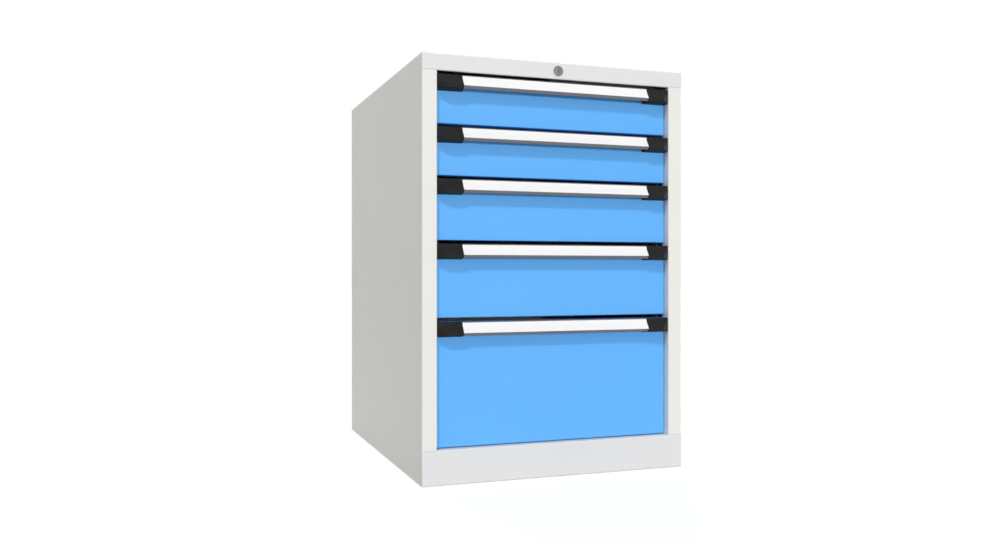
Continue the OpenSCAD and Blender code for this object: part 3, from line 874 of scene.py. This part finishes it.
@dataclass
class CentralLock:
    """The cylinder lock in the top rail, its cam, and the bar that it shifts.

    Attributes:
        finishes: The cabinet's finishes.
        collar_r: Radius of the collar.
        collar_t: Its thickness in front of the posts.
        mouth: Its inner edge, as distances out from the bore and back from its face.
        brim: Its outer edge, as distances out from its radius and back from its face.
        heel: Chamfer at its back.
        barrel_r: Radius of the barrel.
        barrel_l: Its length behind the posts.
        plain_l: Length of its plain start.
        pitch: Distance between the thread's turns.
        thread_depth: Depth of the thread.
        end_chamfer: Chamfer at the barrel's end.
        bore_r: Radius of the barrel's bore.
        wards: Left and right edge of each ward in the keyway, and how far it stands back.
        ward_sink: How far the wards lie behind the collar's face.
        ward_l: How deep they reach.
        ward_half_h: Half their height.
        ward_edge: Their chamfer.
    """

    finishes: Finishes
    collar_r: float = 10.0
    collar_t: float = 2.5
    mouth: tuple[Point, ...] = ((0.0, 0.5), (0.4, 0.1), (0.9, 0.0))
    brim: tuple[Point, ...] = ((-1.3, 0.0), (-0.4, 0.35), (0.0, 0.95))
    heel: float = 0.15
    barrel_r: float = 9.0
    barrel_l: float = 26.0
    plain_l: float = 6.5
    pitch: float = 1.0
    thread_depth: float = 0.45
    end_chamfer: float = 0.5
    bore_r: float = 6.05
    wards: tuple[Triple, ...] = ((-0.66, -0.16, 0.0), (0.2, 0.66, 0.8))
    ward_sink: float = 1.0
    ward_l: float = 4.5
    ward_half_h: float = 3.5
    ward_edge: float = 0.08

    def build(self) -> None:
        """Builds the barrel, core, wards, nut and guides, and dresses the rest."""
        self.build_barrel()
        rounded("lock_core", "lock_core", "lock_metal", self.finishes.lock_metal, Edge.TURNED)
        self.build_wards()
        rounded("lock_nut", "housing", "zinc_steel", self.finishes.zinc, Edge.SMALL_MOULDED)
        rounded("lock_bar_guides", "housing", "black_plastic", self.finishes.cap_plastic,
                Edge.SMALL_MOULDED)
        for node in ("lock_cam", "lock_bar", "lock_lugs"):
            dress(node, self.finishes.zinc, Edge.ROLLED)

    def build_barrel(self) -> None:
        """Turns the barrel: a collar with a chamfered rim, and a threaded body."""
        outline = [(self.bore_r + r, back - self.collar_t) for r, back in self.mouth]
        outline += [(self.collar_r + r, back - self.collar_t) for r, back in self.brim]
        outline += [(self.collar_r, -self.heel), (self.collar_r - self.heel, 0.0),
                    (self.barrel_r, 0.0), (self.barrel_r, self.plain_l)]
        along = self.plain_l
        while along + self.pitch <= self.barrel_l - self.end_chamfer:
            outline += [(self.barrel_r - self.thread_depth, along + self.pitch / 2),
                        (self.barrel_r, along + self.pitch)]
            along += self.pitch
        outline += [(self.barrel_r - self.end_chamfer, self.barrel_l),
                    (self.bore_r, self.barrel_l)]
        centre = Vector((0, POSTS_FRONT, LOCK_AXIS_Z)) * MM
        form = turned(outline, centre, Vector((0, 1, 0)))
        stand_in(new_piece("lock_barrel_turned", form), "housing", "lock_metal",
                 self.finishes.lock_metal, "lock_barrel")

    def build_wards(self) -> None:
        """Builds the wards in the core's key slot, a narrow gap apart; their near-black is painted
        shade.
        """
        form = bmesh.new()
        front = POSTS_FRONT - self.collar_t + self.ward_sink
        for left, right, set_back in self.wards:
            corner = Vector((left, front + set_back, -self.ward_half_h))
            far = Vector((right, front + self.ward_l, self.ward_half_h))
            made = bmesh.ops.create_cube(form, size=1.0)["verts"]
            bmesh.ops.scale(form, vec=far - corner, verts=made)
            bmesh.ops.translate(form, vec=(corner + far) / 2, verts=made)
        bmesh.ops.translate(form, vec=Vector((0, 0, LOCK_AXIS_Z)), verts=form.verts)
        bmesh.ops.scale(form, vec=Vector((MM, MM, MM)), verts=form.verts)
        soften(form, self.ward_edge, steps=1)
        # The wards' near-black finish is painted shade for the dark key slot, not the brass's own
        # colour.
        stand_in(new_piece("lock_wards", form), "lock_core", "lock_metal",
                 self.finishes.painted_shade_wards)


# ------------------------------------------------------------------ studio


@dataclass(frozen=True)
class Lamp:
    """A broad distant lamp.

    Attributes:
        name: The lamp's name.
        direction: Which way its light travels.
        level: The share of plain level that it adds to a white sheet facing it.
        spread: Its apparent width in degrees, which softens its shadows.
    """

    name: str
    direction: Triple
    level: float
    spread: float

    def build(self) -> None:
        """Adds the lamp to the scene."""
        data = bpy.data.lights.new(self.name, "SUN")
        # A sun of strength pi lights a white sheet that faces it to exactly white.
        data.energy = self.level * math.pi
        data.angle = math.radians(self.spread)
        lamp = bpy.data.objects.new(self.name, data)
        lamp.rotation_mode = "QUATERNION"
        lamp.rotation_quaternion = Vector(self.direction).normalized().to_track_quat("-Z", "Y")
        bpy.context.scene.collection.objects.link(lamp)
        log.info("lamp %s", self.name)


@dataclass
class Studio:
    """Pale floor, white surroundings, soft lamps and the photograph's camera.

    Attributes:
        camera_place: Where the camera stands, in metres.
        yaw: How far it is turned to the right of the depth's direction, in degrees.
        focal_px: Its focal length in pixels of the photograph's frame.
        frame_px: That frame's width.
        shift: How far the frame is shifted sideways, as a share of its width.
        sensor: The sensor's width.
        clip: Nearest and farthest distance that it sees, in metres.
        ambient: The surroundings' share of plain level.
        floor_half: Half the floor's width in metres.
        floor_cells: Cells along each side of the floor's mesh.
        floor_drop: How far it lies below the cabinet's foot, in metres, so that no faces meet.
        floor_lit: The floor's colour as the object and the lamps meet it.
        floor_seen: Its colour as the camera meets it, on which the shadow falls.
        floor_glow: What is added to that colour, so that a lit floor looks white.
        lamps: The lamps.
    """

    camera_place: Triple = (-0.7463, -2.0879, 0.4120)
    yaw: float = 20.16
    focal_px: float = 948.7
    frame_px: float = 1000.0
    shift: float = -0.008
    sensor: float = 36.0
    clip: tuple[float, float] = (0.05, 80.0)
    ambient: float = 0.30
    floor_half: float = 20.0
    floor_cells: int = 8
    floor_drop: float = 0.0004
    floor_lit: str = "#C8C8C8"
    floor_seen: str = "#9A9A9A"
    floor_glow: float = 0.76
    lamps: tuple[Lamp, ...] = (
        Lamp("key_lamp", (0.379, 0.605, -0.70), 0.378, 5.0),
        Lamp("overhead_lamp", (0.0, 0.02, -1.0), 0.09, 40.0),
        Lamp("fill_lamp", (0.0, 1.0, -0.075), 0.37, 8.0),
        Lamp("rear_lamp", (-0.12, -0.80, -0.58), 0.40, 40.0),
        Lamp("right_lamp", (-1.0, 0.0, -0.15), 0.11, 20.0),
    )

    def build(self) -> None:
        """Builds the surroundings, the floor, the lamps and the camera."""
        self.build_world()
        self.build_floor()
        for lamp in self.lamps:
            lamp.build()
        self.build_camera()

    def seen(self, tree: Nodes) -> Socket:
        """Tells whether a ray comes from the camera, a reflection or a clear body.

        Args:
            tree: The nodes to add to.

        Returns:
            A socket that is 1 for such rays.
        """
        path = add_node(tree, "ShaderNodeLightPath")
        first = add_node(tree, "ShaderNodeMath", {
            0: path.outputs["Is Camera Ray"], 1: path.outputs["Is Glossy Ray"],
        }, operation="MAXIMUM")
        return add_node(tree, "ShaderNodeMath", {
            0: first.outputs[0], 1: path.outputs["Is Transmission Ray"],
        }, operation="MAXIMUM").outputs[0]

    def build_world(self) -> None:
        """Makes surroundings that look white and light the object at a plain level."""
        world = bpy.data.worlds.new("white_studio")
        bpy.context.scene.world = world
        world.use_nodes = True
        tree = world.node_tree
        tree.nodes.clear()
        strength = add_node(tree, "ShaderNodeMapRange", {
            "Value": self.seen(tree), "To Min": self.ambient, "To Max": 1.0,
        })
        light = add_node(tree, "ShaderNodeBackground", {
            "Color": (1.0, 1.0, 1.0, 1.0), "Strength": strength.outputs[0],
        })
        add_node(tree, "ShaderNodeOutputWorld", {"Surface": light.outputs[0]})

    def build_floor(self) -> None:
        """Makes the pale floor, which looks white where it is lit and keeps the object's shadow."""
        form = bmesh.new()
        bmesh.ops.create_grid(form, x_segments=self.floor_cells, y_segments=self.floor_cells,
                              size=self.floor_half)
        bmesh.ops.translate(form, vec=Vector((0, 0, -self.floor_drop)), verts=form.verts)
        floor = new_piece("pale_floor", form)
        material = bpy.data.materials.new("sealed_plaster_floor")
        material.use_nodes = True
        tree = material.node_tree
        tree.nodes.clear()
        plain = add_node(tree, "ShaderNodeBsdfDiffuse", {"Color": linear(self.floor_lit)})
        shown = add_node(tree, "ShaderNodeBsdfDiffuse", {"Color": linear(self.floor_seen)})
        glow = add_node(tree, "ShaderNodeEmission", {"Strength": self.floor_glow})
        both = add_node(tree, "ShaderNodeAddShader", {0: shown.outputs[0], 1: glow.outputs[0]})
        mixed = add_node(tree, "ShaderNodeMixShader", {
            0: self.seen(tree), 1: plain.outputs[0], 2: both.outputs[0],
        })
        add_node(tree, "ShaderNodeOutputMaterial", {"Surface": mixed.outputs[0]})
        floor.data.materials.append(material)

    def build_camera(self) -> None:
        """Puts the camera, held level, where the photograph was taken from."""
        data = bpy.data.cameras.new("photo_camera")
        data.sensor_width = self.sensor
        data.lens = self.focal_px / self.frame_px * self.sensor
        data.shift_x = self.shift
        data.clip_start, data.clip_end = self.clip
        camera = bpy.data.objects.new("photo_camera", data)
        camera.location = self.camera_place
        camera.rotation_euler = (math.radians(90), 0.0, math.radians(-self.yaw))
        bpy.context.scene.collection.objects.link(camera)
        bpy.context.scene.camera = camera


def main() -> None:
    """Builds the cabinet's sub-assemblies and the studio, in order."""
    logging.basicConfig(level=logging.INFO, format="%(name)s: %(message)s")
    bpy.context.scene.view_settings.view_transform = "Standard"
    finishes = Finishes()
    Housing(finishes).build()
    BackScrews(finishes).build()
    Slides(finishes).build()
    for number in DRAWERS:
        Drawer(number, finishes).build()
    CentralLock(finishes).build()
    Studio().build()


if __name__ == "__main__":
    main()
